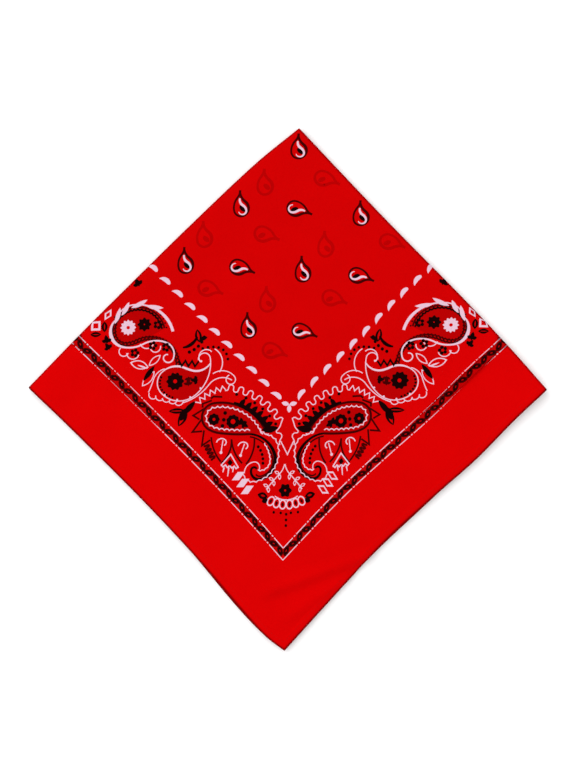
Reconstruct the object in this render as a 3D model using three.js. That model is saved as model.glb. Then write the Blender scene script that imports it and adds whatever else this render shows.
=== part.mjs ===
// A square cotton bandana, hemmed on all four sides, folded in half and in half again, and laid flat.
// Millimetres, +Z up. The pile lies on z = 0 and its origin is the middle of its footprint.
//
// The pile is worked out in the flat coordinates of the folded cloth:
//   across  is the distance from the outer fold, where the last fold wraps all four layers;
//   down    is the distance from the paired folds, where the first fold left two rolls, one on the other.
// The hems lie on the two far sides, and the middle of the whole cloth is the corner between the folds.
import * as THREE from "three";

// Driving dimensions of the cloth
const CLOTH_SIDE = 550;
const QUARTER = CLOTH_SIDE / 2;
const WALL = 1; // one layer
const GAP = 0.3; // air between two layers, and between two pieces at a seam
const HEM_WIDTH = 6;
const HEM_THICKNESS = 1.5; // the turned hem stands above the panel
const ROLL = 3; // how far a folded edge rounds over, from its shoulder to the outline
const LAYERS = 4;
const PILE = LAYERS * WALL + (LAYERS - 1) * GAP;
const PANEL_END = QUARTER - HEM_WIDTH - GAP;

// The folds spring open, so the pile is higher there. Each roll ends in a lip, above the layer below it.
const OUTER_FOLD = { loft: 2.4, reach: 24, lipShare: 1 / 2 };
const PAIRED_FOLDS = { loft: 1.7, reach: 19, lipShare: 3 / 4 };

// The hemmed corner beside the paired folds curls up off the table
const CURL = { height: 2.6, along: 85, inward: 30 };

// How finely the solids are stepped
const PANEL_STEPS = 32;
const ROLL_TURNS = [1, 0.94, 0.72, 0.48, 0.24]; // quarter turns, from the lip up to the shoulder

// The footprint's corners: the whole cloth's middle, the middles of its sides, and its own four corners
const CORNERS = {
  middle: new THREE.Vector2(8.6, 195.4),
  left: new THREE.Vector2(-193.7, 1.5),
  right: new THREE.Vector2(193.7, 0),
  free: new THREE.Vector2(-2.3, -195.4),
};

// How far each side bows out from the straight line between its corners, at a share of its length
const BOW = {
  outerFold: [
    { at: 0, out: 0 },
    { at: 0.15, out: 3.4 },
    { at: 0.4, out: 3.9 },
    { at: 0.6, out: 3.2 },
    { at: 0.8, out: 2.1 },
    { at: 1, out: 0 },
  ],
  pairedFolds: [
    { at: 0, out: 0 },
    { at: 0.35, out: 0.1 },
    { at: 0.65, out: 1.6 },
    { at: 0.85, out: 1.4 },
    { at: 1, out: 0 },
  ],
  leftHem: [
    { at: 0, out: 0 },
    { at: 0.2, out: -1.5 },
    { at: 0.45, out: -2.4 },
    { at: 0.66, out: -1.2 },
    { at: 0.87, out: 2.3 },
    { at: 0.94, out: 2.5 },
    { at: 1, out: 0 },
  ],
  rightHem: [
    { at: 0, out: 0 },
    { at: 0.12, out: -0.8 },
    { at: 0.27, out: -0.3 },
    { at: 0.42, out: -2.8 },
    { at: 0.6, out: -4.7 },
    { at: 0.8, out: -2.7 },
    { at: 1, out: 0 },
  ],
};

// Soft ridges and troughs of the top layer, each along a line on the footprint
const CREASES = [
  { name: "crease from the right hem", from: [59, -125], to: [-14, -154], width: 8, rise: 1.1 },
  { name: "trough under that crease", from: [62, -134], to: [-6, -166], width: 8, rise: -0.8 },
  { name: "crease towards the free corner", from: [32, -150], to: [-2, -178], width: 7, rise: 0.6 },
  { name: "dent at the left corner", from: [-146, 10], to: [-168, -14], width: 13, rise: -1.1 },
  { name: "valley across the field", from: [-86, 66], to: [-24, 84], width: 17, rise: -0.8 },
  { name: "swell of the field", from: [-24, 34], to: [20, 26], width: 42, rise: 0.9 },
  { name: "swell of the left margin", from: [-92, -44], to: [-34, -112], width: 24, rise: 0.6 },
  { name: "swell of the right margin", from: [62, -84], to: [118, -34], width: 22, rise: 0.5 },
  { name: "dip beside the paired folds", from: [62, 96], to: [112, 44], width: 18, rise: -0.5 },
];

// The sides of the hidden layers, from the lip of the top layer down to the table. share is the height left
// below the lip, layer is the one whose edge it is, and the rest is how far in from the outline the row lies
// at each kind of side: one big roll, half of one roll on a whole one, and a stack of hems.
const EDGE_ROWS = [
  { share: 1, layer: 2, outerFold: WALL + GAP, pairedFolds: WALL + GAP, hem: 1.1 },
  { share: 1, layer: 2, outerFold: 0, pairedFolds: 0, hem: 0.5 },
  { share: 0.86, layer: 2, outerFold: 0.05, pairedFolds: 0.15, hem: 0 },
  { share: 0.74, layer: 2, outerFold: 0.1, pairedFolds: 0.8, hem: 0.4 },
  { share: 0.667, layer: 2.5, outerFold: 0.2, pairedFolds: 2.1, hem: 1.9 },
  { share: 0.61, layer: 3, outerFold: 0.3, pairedFolds: 1, hem: 0.4 },
  { share: 0.5, layer: 3, outerFold: 0.45, pairedFolds: 0.3, hem: 0 },
  { share: 0.4, layer: 3, outerFold: 0.65, pairedFolds: 0.05, hem: 0.4 },
  { share: 0.333, layer: 3.5, outerFold: 0.85, pairedFolds: 0, hem: 1.9 },
  { share: 0.27, layer: 4, outerFold: 1.05, pairedFolds: 0.1, hem: 0.4 },
  { share: 0.15, layer: 4, outerFold: 1.5, pairedFolds: 0.6, hem: 0 },
  { share: 0.05, layer: 4, outerFold: 2.1, pairedFolds: 1.3, hem: 0.3 },
  { share: 0, layer: 4, outerFold: 3, pairedFolds: 2.2, hem: 0.9 },
];

// Where the flat foot begins, inward of the curl
const FOOT_ROW = { share: 0, layer: 0, outerFold: 30, pairedFolds: 30, hem: 30 };

// Where a lower layer's hem shows past the one above it
const PEEKS = {
  leftHem: [
    { layer: 2, at: 0.84, spread: 0.16, out: 0.5 },
    { layer: 3, at: 0.3, spread: 0.2, out: -0.8 },
    { layer: 4, at: 0.8, spread: 0.18, out: 1.6 },
  ],
  rightHem: [
    { layer: 2, at: 0.46, spread: 0.16, out: 0.4 },
    { layer: 3, at: 0.75, spread: 0.18, out: -0.8 },
    { layer: 4, at: 0.53, spread: 0.18, out: 1.3 },
  ],
};

// One hem's section: how far across the hem, and how far up through its thickness
const HEM_SECTION = [
  { across: 0, up: 0.67 },
  { across: 0.14, up: 0.91 },
  { across: 0.84, up: 1 },
  { across: 0.96, up: 0.73 },
  { across: 1, up: 0.37 },
  { across: 0.96, up: 0.08 },
  { across: 0.84, up: 0 },
  { across: 0, up: 0 },
];

// The value named key at a share of the way along a table, on a smooth curve through its rows
function along(table, at, key) {
  const last = table.length - 1;
  const slope = (i) => {
    const [before, after] = [table[Math.max(i - 1, 0)], table[Math.min(i + 1, last)]];
    return (after[key] - before[key]) / (after.at - before.at);
  };
  const start = at < 1 ? Math.max(table.findIndex((row) => row.at > at) - 1, 0) : last - 1;
  const [a, b] = [table[start], table[start + 1]];
  const span = b.at - a.at;
  const t = (at - a.at) / span;
  return (
    a[key] * (1 + 2 * t) * (1 - t) ** 2 +
    slope(start) * span * t * (1 - t) ** 2 +
    b[key] * t * t * (3 - 2 * t) +
    slope(start + 1) * span * t * t * (t - 1)
  );
}

// A point on one side of the footprint. outward is 1 where the outside lies left of the chord, else -1.
function sidePoint(from, to, bow, at, outward) {
  const chord = to.clone().sub(from);
  const out = new THREE.Vector2(-chord.y, chord.x).normalize().multiplyScalar(outward);
  return from.clone().addScaledVector(chord, at).addScaledVector(out, along(bow, at, "out"));
}

// The footprint point for flat coordinates: a patch blended between the four bowed sides
function footprint(across, down) {
  const [a, d] = [across / QUARTER, down / QUARTER];
  const { middle, left, right, free } = CORNERS;
  const onOuterFold = sidePoint(middle, left, BOW.outerFold, d, -1);
  const onRightHem = sidePoint(right, free, BOW.rightHem, d, 1);
  const onPairedFolds = sidePoint(middle, right, BOW.pairedFolds, a, 1);
  const onLeftHem = sidePoint(left, free, BOW.leftHem, a, -1);
  const corners = middle
    .clone()
    .multiplyScalar((1 - a) * (1 - d))
    .addScaledVector(right, a * (1 - d))
    .addScaledVector(left, (1 - a) * d)
    .addScaledVector(free, a * d);
  return onOuterFold
    .multiplyScalar(1 - a)
    .addScaledVector(onRightHem, a)
    .addScaledVector(onPairedFolds, 1 - d)
    .addScaledVector(onLeftHem, d)
    .sub(corners);
}

const bell = (distance, width) => Math.exp(-((distance / width) ** 2));

// How far a soft crease lifts the cloth at a footprint point
function creaseRise(crease, point) {
  const from = new THREE.Vector2(...crease.from);
  const line = new THREE.Vector2(...crease.to).sub(from);
  const share = THREE.MathUtils.clamp(point.clone().sub(from).dot(line) / line.lengthSq(), 0, 1);
  return crease.rise * bell(from.addScaledVector(line, share).distanceTo(point), crease.width);
}

// How high the curled corner lifts the underside
function curlLift(across, down) {
  const edge = Math.min(QUARTER - across, down);
  const inward = THREE.MathUtils.clamp(1 - edge / CURL.inward, 0, 1);
  return CURL.height * bell(Math.hypot(QUARTER - across, down), CURL.along) * inward ** 2;
}

// Height of the top layer's upper face above the table, with the folds' rounding left out
function topHeight(across, down) {
  const loft = Math.hypot(
    OUTER_FOLD.loft * bell(Math.max(across - ROLL, 0), OUTER_FOLD.reach),
    PAIRED_FOLDS.loft * bell(Math.max(down - ROLL, 0), PAIRED_FOLDS.reach),
  );
  const point = footprint(across, down);
  const creases = CREASES.reduce((sum, crease) => sum + creaseRise(crease, point), 0);
  return PILE + loft + creases + curlLift(across, down);
}

// A station is a turn, in quarter turns from a fold's shoulder round to its lip, or else a distance
const turned = (station) => (station.turn ?? 0) * (Math.PI / 2);
const distanceOf = (station, depth) => (station.at ?? ROLL) - (ROLL - depth) * Math.sin(turned(station));

// A point of the top sheet or of what lies under it. depth is measured in from the sheet's upper face.
function sheetPoint(acrossStation, downStation, depth) {
  const top = topHeight(acrossStation.at ?? ROLL, downStation.at ?? ROLL) - depth;
  const drop = (station, fold) => (top - fold.lipShare * (top + depth)) * (1 - Math.cos(turned(station)));
  const fall = Math.max(drop(acrossStation, OUTER_FOLD), drop(downStation, PAIRED_FOLDS));
  const point = footprint(distanceOf(acrossStation, depth), distanceOf(downStation, depth));
  return new THREE.Vector3(point.x, point.y, top - fall);
}

// Stations from a fold's lip, round its roll, over the panel, and on to any further distances
function stationsTo(...ends) {
  const turns = ROLL_TURNS.map((turn) => ({ turn }));
  const panel = Array.from({ length: PANEL_STEPS + 1 }, (_, i) => ({
    at: THREE.MathUtils.lerp(ROLL, PANEL_END, i / PANEL_STEPS),
  }));
  return [...turns, ...panel, ...ends.map((at) => ({ at }))];
}

// A closed body from lists of points and faces, by their numbers
function bodyFrom(points, faces) {
  const geometry = new THREE.BufferGeometry().setFromPoints(points);
  geometry.setIndex(faces.flat());
  geometry.computeVertexNormals();
  return geometry;
}

// Two faces for a cell with corners a, b, c, d in turn
const cell = (a, b, c, d) => [
  [a, b, c],
  [a, c, d],
];

// Faces that join two closed rings of the same length, by the numbers of their points
const bandBetween = (ring, next) =>
  ring.flatMap((_, i) => {
    const j = (i + 1) % ring.length;
    return cell(ring[i], next[i], next[j], ring[j]);
  });

// The grid of points over two lists of stations, its faces as seen from above, and its border
function gridOver(acrossStations, downStations, depth) {
  const columns = downStations.length;
  const number = (i, j) => i * columns + j;
  const points = acrossStations.flatMap((a) => downStations.map((d) => sheetPoint(a, d, depth)));
  const faces = [];
  for (let i = 0; i + 1 < acrossStations.length; i++)
    for (let j = 0; j + 1 < columns; j++)
      faces.push(...cell(number(i, j), number(i, j + 1), number(i + 1, j + 1), number(i + 1, j)));
  const [lastRow, lastColumn] = [acrossStations.length - 1, columns - 1];
  const border = [];
  for (let j = 0; j < lastColumn; j++) border.push([0, j]);
  for (let i = 0; i < lastRow; i++) border.push([i, lastColumn]);
  for (let j = lastColumn; j > 0; j--) border.push([lastRow, j]);
  for (let i = lastRow; i > 0; i--) border.push([i, 0]);
  return { points, faces, border, number };
}

// The top layer: a wall that lies on the pile and rolls over the two folded sides
function topQuarter() {
  const stations = stationsTo();
  const upper = gridOver(stations, stations, 0);
  const lower = gridOver(stations, stations, WALL);
  const below = upper.points.length;
  const ring = upper.border.map(([i, j]) => upper.number(i, j));
  const faces = [
    ...upper.faces,
    ...lower.faces.map(([a, b, c]) => [a + below, c + below, b + below]),
    ...bandBetween(ring, ring.map((n) => n + below)),
  ];
  return bodyFrom([...upper.points, ...lower.points], faces);
}

// How far the hem of a lower layer shows past the outline at a share of the way along a side
function peek(peeks, layer, at) {
  const ofLayer = (p) => Math.max(0, 1 - Math.abs(layer - p.layer));
  return peeks.reduce((sum, p) => sum + p.out * bell(at - p.at, p.spread) * ofLayer(p), 0);
}

// A row of the hidden layers' sides, as a ring of points round the pile. Each place holds its shares of the
// way from the folds' lips to the hems, and the height of the top border there. Only the lips themselves move
// outward from under the top layer; the rest of a hem's run stays below that layer's roll.
function edgeRing(row, places) {
  const hemEnd = (peeks, at) => QUARTER - row.hem + peek(peeks, row.layer, at) * (1 - (2 * at - 1) ** 8);
  const distance = (inset, share, end) => {
    const start = share ? Math.max(inset, WALL + GAP) : inset;
    return THREE.MathUtils.lerp(start, end, share);
  };
  return places.map(({ a, d, lip }) => {
    const across = distance(row.outerFold, a, hemEnd(PEEKS.rightHem, d));
    const down = distance(row.pairedFolds, d, hemEnd(PEEKS.leftHem, a));
    const point = footprint(across, down);
    const foot = curlLift(across, down);
    return new THREE.Vector3(point.x, point.y, foot + row.share * (lip - GAP - foot));
  });
}

// The three hidden layers in one body. Its top follows the top layer, its sides are layered, its foot is flat.
function underLayers() {
  const [depth, end] = [WALL + GAP, QUARTER - EDGE_ROWS[0].hem];
  const stations = stationsTo(QUARTER - HEM_WIDTH, end);
  const top = gridOver(stations, stations, depth);
  const shareOf = (n) => (distanceOf(stations[n], depth) - depth) / (end - depth);
  const lipOf = (i, j) => top.points[top.number(i, j)].z;
  const places = top.border.map(([i, j]) => ({ a: shareOf(i), d: shareOf(j), lip: lipOf(i, j) }));
  const points = [...top.points];
  const faces = [...top.faces];
  let ring = top.border.map(([i, j]) => top.number(i, j));
  for (const row of [...EDGE_ROWS, FOOT_ROW]) {
    const next = ring.map((_, i) => points.length + i);
    points.push(...edgeRing(row, places));
    faces.push(...bandBetween(ring, next));
    ring = next;
  }
  const foot = ring.map((n) => new THREE.Vector2(points[n].x, points[n].y));
  for (const [a, b, c] of THREE.ShapeUtils.triangulateShape(foot, [])) {
    const [p, q, r] = [foot[a], foot[b], foot[c]];
    const seenFromAbove = q.clone().sub(p).cross(r.clone().sub(p)) > 0;
    faces.push(seenFromAbove ? [ring[a], ring[c], ring[b]] : [ring[a], ring[b], ring[c]]);
  }
  return bodyFrom(points, faces);
}

// A turned hem of the top layer, as sections set along its side. It starts round the fold's roll, runs beside
// the panel, and goes on over any further distances.
function hem(runsAcross, ...ends) {
  const inner = QUARTER - HEM_WIDTH;
  const stations = stationsTo(...ends);
  const sections = stations.map((station) =>
    HEM_SECTION.map(({ across, up }) => {
      const side = { at: inner + across * HEM_WIDTH };
      const depth = WALL - up * HEM_THICKNESS;
      return runsAcross ? sheetPoint(station, side, depth) : sheetPoint(side, station, depth);
    }),
  );
  const size = HEM_SECTION.length;
  const ringAt = (s) => HEM_SECTION.map((_, i) => s * size + i);
  const faces = sections.slice(1).flatMap((_, s) => bandBetween(ringAt(s), ringAt(s + 1)));
  const fan = (ring) => ring.slice(2).map((_, i) => [ring[0], ring[i + 1], ring[i + 2]]);
  faces.push(...fan(ringAt(0)));
  faces.push(...fan(ringAt(sections.length - 1)).map(([a, b, c]) => [a, c, b]));
  const outward = runsAcross ? faces.map(([a, b, c]) => [a, c, b]) : faces;
  return bodyFrom(sections.flat(), outward);
}

const redCotton = new THREE.MeshStandardMaterial({ color: 0xdc0407, roughness: 0.9, metalness: 0 });
const hemCotton = new THREE.MeshStandardMaterial({ color: 0xd20306, roughness: 0.92, metalness: 0 });

const pieces = [
  { name: "top_quarter", geometry: topQuarter(), material: redCotton },
  { name: "under_layers", geometry: underLayers(), material: redCotton },
  { name: "hem_left", geometry: hem(true, QUARTER - HEM_WIDTH, QUARTER), material: hemCotton },
  { name: "hem_right", geometry: hem(false), material: hemCotton },
];

const bandana = new THREE.Group();
bandana.name = "folded_bandana";
for (const { name, geometry, material } of pieces) {
  const mesh = new THREE.Mesh(geometry, material);
  mesh.name = name;
  bandana.add(mesh);
}

export default bandana;
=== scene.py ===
import math

import bmesh
import bpy
import numpy as np
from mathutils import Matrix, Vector
from mathutils.geometry import delaunay_2d_cdt


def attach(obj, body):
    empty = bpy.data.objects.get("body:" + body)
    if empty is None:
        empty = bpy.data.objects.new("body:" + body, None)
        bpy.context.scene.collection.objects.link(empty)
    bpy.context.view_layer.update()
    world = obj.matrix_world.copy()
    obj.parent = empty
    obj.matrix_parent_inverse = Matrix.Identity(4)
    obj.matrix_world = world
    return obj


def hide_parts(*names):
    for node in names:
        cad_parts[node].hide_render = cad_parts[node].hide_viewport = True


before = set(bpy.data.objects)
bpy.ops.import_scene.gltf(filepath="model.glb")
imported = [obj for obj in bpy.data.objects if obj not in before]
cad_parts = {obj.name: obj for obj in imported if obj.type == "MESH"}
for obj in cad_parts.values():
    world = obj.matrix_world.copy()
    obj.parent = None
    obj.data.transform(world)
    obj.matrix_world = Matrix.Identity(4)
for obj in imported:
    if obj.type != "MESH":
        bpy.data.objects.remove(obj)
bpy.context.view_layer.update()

# Lengths below are in millimetres, in the part's own frame, and become metres when a mesh is made.
MM = 0.001

# The camera. It looks straight down on the cloth and takes in 432 by 576 mm at the table, so that a pixel
# of the photograph is 0.75 mm.
VIEW_HEIGHT = 576
VIEW_CENTRE = (0.375, 4.125)
LENS = 85
SENSOR = 36

camera_data = bpy.data.cameras.new("camera")
camera_data.lens = LENS
camera_data.sensor_width = SENSOR
camera_data.clip_start = 0.05
camera_data.clip_end = 20
camera = bpy.data.objects.new("camera", camera_data)
camera.location = Vector((*VIEW_CENTRE, LENS / SENSOR * VIEW_HEIGHT)) * MM
bpy.context.scene.collection.objects.link(camera)
bpy.context.scene.camera = camera

# The table. A plain, nearly white matt board, far wider than the cloth that lies flat on it. Its top face is
# at height zero of the part's own frame.
TABLE_SIDE = 8000

table_mesh = bmesh.new()
bmesh.ops.create_grid(table_mesh, x_segments=1, y_segments=1, size=TABLE_SIDE / 2 * MM)
table_data = bpy.data.meshes.new("table")
table_mesh.to_mesh(table_data)
table_mesh.free()
table = bpy.data.objects.new("table", table_data)
bpy.context.scene.collection.objects.link(table)

board = bpy.data.materials.new("white_board")
board.use_nodes = True
board_shader = board.node_tree.nodes["Principled BSDF"]
board_shader.inputs["Base Color"].default_value = (0.95, 0.95, 0.95, 1)
board_shader.inputs["Roughness"].default_value = 0.9
board_shader.inputs["Specular IOR Level"].default_value = 0.1
table_data.materials.append(board)

# The light. A wide soft window at the upper left, and an even white sky that fills the shadows.
WINDOW_PLACE = (-1150, 1000, 1750)
WINDOW_SIDE = 2400
WINDOW_POWER = 27
SKY = 1.02

window_data = bpy.data.lights.new("window", "AREA")
window_data.shape = "SQUARE"
window_data.size = WINDOW_SIDE * MM
window_data.energy = WINDOW_POWER
window = bpy.data.objects.new("window", window_data)
window.location = Vector(WINDOW_PLACE) * MM
window.rotation_euler = (-window.location).to_track_quat("-Z", "Y").to_euler()
bpy.context.scene.collection.objects.link(window)

sky = bpy.data.worlds.new("sky")
sky.use_nodes = True
sky.node_tree.nodes["Background"].inputs["Color"].default_value = (1, 1, 1, 1)
sky.node_tree.nodes["Background"].inputs["Strength"].default_value = SKY
bpy.context.scene.world = sky
bpy.context.scene.view_settings.view_transform = "Standard"

# The printed top quarter: the quarter of the square cotton panel that shows, with the middle of the whole
# cloth at its upper corner. It is one thin sheet that lies on the three quarters below it, rolls down over
# the two folds, and runs on to its hems. across is the distance from the outer fold, down the distance from
# the paired folds.
CLOTH_SIDE = 550
QUARTER = CLOTH_SIDE / 2
CLOTH = 0.4
PILE = 4.9

# A fold's shoulder lies ROLL in from the footprint's edge, and the cloth goes on ROLL_ARC past it, down to
# its lip. At a hem the sheet stops NOSE short of the edge, inside the hem's rounded turn.
ROLL = 3
ROLL_ARC = 5.2
LIP = ROLL - ROLL_ARC
NOSE = 0.5

# The footprint's corners, and how far each side bows out at a share of the way along it
MIDDLE, LEFT, RIGHT, FREE = 8.6 + 195.4j, -193.7 + 1.5j, 193.7 + 0j, -2.3 - 195.4j
OUTER_FOLD_BOW = [(0, 0), (0.15, 3.4), (0.4, 3.9), (0.6, 3.2), (0.8, 2.1), (1, 0)]
PAIRED_FOLDS_BOW = [(0, 0), (0.35, 0.1), (0.65, 1.6), (0.85, 1.4), (1, 0)]
LEFT_HEM_BOW = [(0, 0), (0.2, -1.5), (0.45, -2.4), (0.66, -1.2), (0.87, 2.3), (0.94, 2.5), (1, 0)]
RIGHT_HEM_BOW = [(0, 0), (0.12, -0.8), (0.27, -0.3), (0.42, -2.8), (0.6, -4.7), (0.8, -2.7), (1, 0)]


# A smooth curve through the rows of a table, each a place and a value
def along(rows, at):
    places, values = np.array(rows).T
    order = np.arange(len(places))
    before, after = np.maximum(order - 1, 0), np.minimum(order + 1, order[-1])
    slopes = (values[after] - values[before]) / (places[after] - places[before])
    start = np.clip(np.searchsorted(places, at, side="right") - 1, 0, order[-1] - 1)
    span = places[start + 1] - places[start]
    t = (at - places[start]) / span
    return (
        values[start] * (1 + 2 * t) * (1 - t) ** 2
        + slopes[start] * span * t * (1 - t) ** 2
        + values[start + 1] * t * t * (3 - 2 * t)
        + slopes[start + 1] * span * t * t * (t - 1)
    )


# A point on one side of the footprint: the straight line between two corners, bowed by its table
def side_point(start, end, bow, at, outward):
    chord = end - start
    return start + chord * at + 1j * chord / abs(chord) * outward * along(bow, at)


# The footprint point for flat coordinates, as right + up * 1j: a patch blended between the bowed sides
def footprint(across, down):
    a, d = across / QUARTER, down / QUARTER
    return (
        (1 - a) * side_point(MIDDLE, LEFT, OUTER_FOLD_BOW, d, -1)
        + a * side_point(RIGHT, FREE, RIGHT_HEM_BOW, d, 1)
        + (1 - d) * side_point(MIDDLE, RIGHT, PAIRED_FOLDS_BOW, a, 1)
        + d * side_point(LEFT, FREE, LEFT_HEM_BOW, a, -1)
        - (1 - d) * ((1 - a) * MIDDLE + a * RIGHT)
        - d * ((1 - a) * LEFT + a * FREE)
    )


def bell(distance, width):
    return np.exp(-((distance / width) ** 2))


# Soft ridges and troughs of the top quarter, each along a line on the footprint
CREASES = [
    # from, to, width, rise
    (60 - 124j, -12 - 150j, 4.2, 2.1),
    (62 - 131j, -12 - 158j, 5, -1.2),
    (38 - 143j, 2 - 169j, 4.2, 1.3),
    (42 - 149j, 4 - 176j, 5, -0.8),
    (-146 + 10j, -168 - 14j, 13, -1.1),
    (-86 + 66j, -24 + 84j, 17, -0.8),
    (-24 + 34j, 20 + 26j, 42, 0.9),
    (-92 - 44j, -34 - 112j, 24, 0.6),
    (62 - 84j, 118 - 34j, 22, 0.5),
    (62 + 96j, 112 + 44j, 18, -0.5),
]


def crease_rise(point):
    rise = 0
    for start, end, width, height in CREASES:
        line = end - start
        share = np.clip(((point - start) * np.conj(line)).real / abs(line) ** 2, 0, 1)
        rise = rise + height * bell(abs(point - start - line * share), width)
    return rise


# The hemmed corner beside the paired folds curls up off the table
CURL_RISE = 2.6
CURL_REACH = 85
CURL_BAND = 30


def curl_lift(across, down):
    inward = np.clip(1 - np.minimum(QUARTER - across, down) / CURL_BAND, 0, 1)
    return CURL_RISE * bell(np.hypot(QUARTER - across, down), CURL_REACH) * inward**2


# The quarter's height above the table. The folds spring open, so it is higher beside them.
OUTER_LOFT = 2.4
OUTER_LOFT_REACH = 24
PAIRED_LOFT = 1.7
PAIRED_LOFT_REACH = 19


def top_height(across, down):
    outer_loft = OUTER_LOFT * bell(np.maximum(across - ROLL, 0), OUTER_LOFT_REACH)
    paired_loft = PAIRED_LOFT * bell(np.maximum(down - ROLL, 0), PAIRED_LOFT_REACH)
    rise = crease_rise(footprint(across, down)) + curl_lift(across, down)
    return PILE + np.hypot(outer_loft, paired_loft) + rise


# How far a place past a fold's shoulder has turned over
def turned(place):
    return np.clip((ROLL - place) / ROLL_ARC, 0, 1) * math.pi / 2


def smooth_step(low, high, value):
    t = np.clip((value - low) / (high - low), 0, 1)
    return t * t * (3 - 2 * t)


# Where each hem's turned edge lies under the cloth, it lifts it a little
HEM_WIDTH = 6
HEM_LIFT = 0.25


def hem_lift(across, down):
    edge = np.maximum(across, down)
    return HEM_LIFT * smooth_step(QUARTER - HEM_WIDTH - 0.8, QUARTER - HEM_WIDTH + 0.7, edge)


# The middle surface of the top layer, as points in space
def top_layer(across, down):
    flat_across, flat_down = np.maximum(across, ROLL), np.maximum(down, ROLL)
    height = top_height(flat_across, flat_down)
    middle = height - CLOTH / 2
    over_outer = (middle - height / 2) * (1 - np.cos(turned(across)))
    over_paired = (middle - height * 3 / 4) * (1 - np.cos(turned(down)))
    reach = ROLL - CLOTH / 2
    point = footprint(
        flat_across - reach * np.sin(turned(across)),
        flat_down - reach * np.sin(turned(down)),
    )
    lifted = middle - np.maximum(over_outer, over_paired) + hem_lift(across, down)
    return np.column_stack([point.real, point.imag, lifted])


# The print, drawn with plain bends in millimetres on the flat cloth, right + up * 1j from the middle of the
# whole cloth. Each shape is an ink and a closed outline, and a later shape covers an earlier one. The faint
# ink is a deeper red: the print of the layer below, and the ground behind the motifs.
GROUND, BLACK, WHITE, FAINT, HATCH = 0, 1, 2, 3, 4

# The black ink runs a little into the weave, and the red closes in on the white
SPREAD = {GROUND: 0, BLACK: 0.6, WHITE: -0.36, FAINT: 0.3, HATCH: 0}


# A pen line: a start, a heading in degrees, and then a length and a turn to the left for each bend
def arcs(start, heading, *bends):
    places = [start]
    angle = math.radians(heading)
    for length, turn in bends:
        turn = math.radians(turn)
        count = max(1, math.ceil(length / 1.3), math.ceil(abs(turn) / 0.35))
        for _ in range(count):
            middle = angle + turn / count / 2
            places.append(places[-1] + length / count * complex(math.cos(middle), math.sin(middle)))
            angle += turn / count
    return np.array(places)


# A few bends seldom end just where they began, so a closed outline spreads the gap along its whole length
def closed(path):
    return path - (path[-1] - path[0]) * np.linspace(0, 1, len(path))


# How far along a path each of its points lies, as a share, and the path's length
def shares(path):
    run = np.concatenate([[0], np.cumsum(abs(np.diff(path)))])
    return run / run[-1], run[-1]


# The left-hand normals of a path, a little longer where it bends sharply so that a line keeps its width
def normals(path):
    steps = np.diff(path)
    steps = steps / abs(steps)
    before, after = np.concatenate([steps[:1], steps]), np.concatenate([steps, steps[-1:]])
    both = before + after
    size = np.maximum(abs(both), 0.8)
    return 1j * both / size * 2 / size


# The same path, moved to its left, or to its right where the distance is negative
def beside(path, distance):
    return path + distance * normals(path)


# An inked line along a path. widths is one width, or several spread evenly from its start to its end.
def line(ink, path, widths):
    along_path, _ = shares(path)
    widths = np.atleast_1d(widths)
    half = (np.interp(along_path, np.linspace(0, 1, len(widths)), widths) + SPREAD[ink]) / 2
    edge = half * normals(path)
    return [(ink, np.concatenate([path + edge, (path - edge)[::-1]]))]


# A path that leaves another by a repeating wave of about the given pitch. The wave gives the distance to the
# left for a place within one repeat, from 0 to 1.
def waved(path, pitch, wave, pieces=6):
    along_path, length = shares(path)
    count = max(1, round(2 * length / pitch)) / 2
    at = np.linspace(0, 1, round(count * pieces) + 1)
    spine = np.interp(at, along_path, path.real) + 1j * np.interp(at, along_path, path.imag)
    return spine + wave(np.arange(len(at)) / pieces % 1) * normals(spine)


def scallops(height):
    return lambda phase: height * (0.6 - np.sin(math.pi * phase))


def spikes(height):
    return lambda phase: height * (4 * abs(phase - 0.5) - 1)


def loops(height, lean):
    return lambda phase: -height * np.cos(2 * math.pi * phase) - 1j * lean * np.sin(4 * math.pi * phase)


def dot(ink, centre, size, long=None, heading=0, corners=9):
    turn = np.exp(2j * math.pi * np.arange(corners) / corners)
    shape = turn.real * ((long or size) + SPREAD[ink]) / 2 + 1j * turn.imag * (size + SPREAD[ink]) / 2
    return [(ink, centre + shape * np.exp(1j * math.radians(heading)))]


def dots(ink, size, *centres):
    return [shape for centre in centres for shape in dot(ink, centre, size)]


def dots_along(ink, path, count, size):
    along_path, _ = shares(path)
    at = np.linspace(0, 1, count)
    spine = np.interp(at, along_path, path.real) + 1j * np.interp(at, along_path, path.imag)
    return dots(ink, size, *spine)


def flower(ink, centre, radius, petals, depth, heart):
    around = np.arange(petals * 6) / (petals * 6)
    reach = (radius + SPREAD[ink] / 2) * (1 - depth * np.sin(math.pi * (around * petals % 1)) ** 2)
    outline = centre + reach * np.exp(2j * math.pi * around)
    return [(ink, outline)] + dot(GROUND, centre, heart)


def leaf(ink, stem, tip, width, bend=0):
    t = np.linspace(0, 1, 9)
    spine = tip - stem
    half = (width + SPREAD[ink]) / 2 * np.sin(math.pi * t) ** 0.8
    bow = bend * np.sin(math.pi * t)
    side = 1j * spine / abs(spine)
    upper = stem + spine * t + side * (bow + half)
    lower = stem + spine * t + side * (bow - half)
    return [(ink, np.concatenate([upper, lower[-2:0:-1]]))]


def hollow_leaf(ink, stem, tip, width, thick):
    end = (tip - stem) / abs(tip - stem) * thick * 1.2
    inner = leaf(GROUND, stem + end, tip - end, width - 2 * thick - SPREAD[ink])
    return leaf(ink, stem, tip, width) + inner


def filled(ink, outline):
    return [(ink, np.array(outline))]


# A four-sided lozenge from its middle and its two half diagonals
def lozenge(ink, middle, long_half, short_half):
    return filled(ink, [middle + long_half, middle + short_half, middle - long_half, middle - short_half])


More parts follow.
